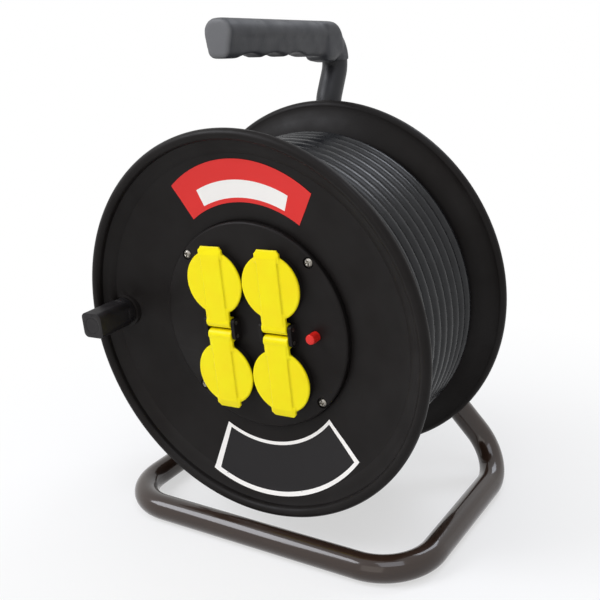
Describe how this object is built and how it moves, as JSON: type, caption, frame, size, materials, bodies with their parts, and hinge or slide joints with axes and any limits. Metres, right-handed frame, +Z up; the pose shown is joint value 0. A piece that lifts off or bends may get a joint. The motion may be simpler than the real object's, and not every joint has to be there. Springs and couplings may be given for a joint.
{
  "type": "extension cord reel",
  "caption": "Extension cord reel with a dished plastic drum, covered outlets, crank knob, reset button and a bent steel tube stand with a carrying grip.",
  "frame": {"origin": "on the floor, under the middle of the reel's bounding box measured without the cord", "axes": "+X to the right seen from the outlets, +Y back along the axle, +Z up"},
  "size_m": [0.3097, 0.2034, 0.3835],
  "materials": {
    "drum_plastic": "satin moulded plastic",
    "panel_plastic": "satin moulded plastic",
    "insert_plastic": "matt moulded plastic",
    "lid_plastic": "glossy moulded plastic",
    "knob_plastic": "satin moulded plastic",
    "button_plastic": "glossy moulded plastic",
    "grip_plastic": "matt moulded plastic",
    "tube_paint": "glossy paint on steel tube",
    "steel": "zinc plated",
    "brass": "bare brass",
    "cord_rubber": "smooth rubber jacket",
    "plug_rubber": "moulded rubber"
  },
  "bodies": {
    "frame": {"base_tube": "tube_paint", "handle_tube": "tube_paint", "hand_grip": "grip_plastic", "hub_plate": "tube_paint", "axle": "steel", "rear_washer": "steel", "front_washer": "steel", "axle_nut": "steel"},
    "drum": {"front_flange": "drum_plastic", "rear_flange": "drum_plastic", "drum_core": "drum_plastic", "drum_screws": "steel", "socket_panel": "panel_plastic", "panel_screws": "steel", "socket_housing": "panel_plastic", "housing_screws": "steel", "socket_insert_1": "insert_plastic", "socket_insert_2": "insert_plastic", "socket_insert_3": "insert_plastic", "socket_insert_4": "insert_plastic", "contact_sleeves": "brass", "live_busbar": "brass", "neutral_busbar": "brass", "earth_strap": "brass", "earth_clips": "brass", "thermal_cutout": "insert_plastic", "cord_gland": "insert_plastic", "lid_pins": "steel", "lid_springs": "steel", "knob_pin": "steel", "cord_lead": "cord_rubber", "cord_core": "cord_rubber", "cord_winding": "cord_rubber", "cord_tail": "cord_rubber", "plug": "plug_rubber", "plug_pins": "brass"},
    "lid_1_body": {"lid_1": "lid_plastic"},
    "lid_2_body": {"lid_2": "lid_plastic"},
    "lid_3_body": {"lid_3": "lid_plastic"},
    "lid_4_body": {"lid_4": "lid_plastic"},
    "knob": {"crank_knob": "knob_plastic", "knob_cap": "knob_plastic"},
    "button": {"reset_button": "button_plastic"}
  },
  "joints": [
    {"name": "drum_spin", "type": "hinge", "parent": "frame", "child": "drum", "pos_m": [0, -0.01174, 0.169], "axis": [0, 1, 0], "continuous": true},
    {"name": "lid_1_hinge", "type": "hinge", "parent": "drum", "child": "lid_1_body", "pos_m": [-0.02522, -0.06564, 0.17192], "axis": [0.9994, 0, 0.0349], "range_deg": [0, 90], "stiffness_Nm_per_rad": 0.01, "springref_deg": -20.05},
    {"name": "lid_2_hinge", "type": "hinge", "parent": "drum", "child": "lid_2_body", "pos_m": [0.02375, -0.06564, 0.17363], "axis": [0.9994, 0, 0.0349], "range_deg": [0, 90], "stiffness_Nm_per_rad": 0.01, "springref_deg": -20.05},
    {"name": "lid_3_hinge", "type": "hinge", "parent": "drum", "child": "lid_3_body", "pos_m": [-0.02487, -0.06564, 0.16193], "axis": [-0.9994, 0, -0.0349], "range_deg": [0, 90], "stiffness_Nm_per_rad": 0.01, "springref_deg": -20.05},
    {"name": "lid_4_hinge", "type": "hinge", "parent": "drum", "child": "lid_4_body", "pos_m": [0.0241, -0.06564, 0.16364], "axis": [-0.9994, 0, -0.0349], "range_deg": [0, 90], "stiffness_Nm_per_rad": 0.01, "springref_deg": -20.05},
    {"name": "knob_spin", "type": "hinge", "parent": "drum", "child": "knob", "pos_m": [-0.12, -0.08374, 0.16795], "axis": [0, 1, 0], "continuous": true},
    {"name": "button_press", "type": "slide", "parent": "drum", "child": "button", "axis": [0, 1, 0], "range_m": [0, 0.003], "stiffness_N_per_m": 300, "springref_m": -0.002}
  ]
}
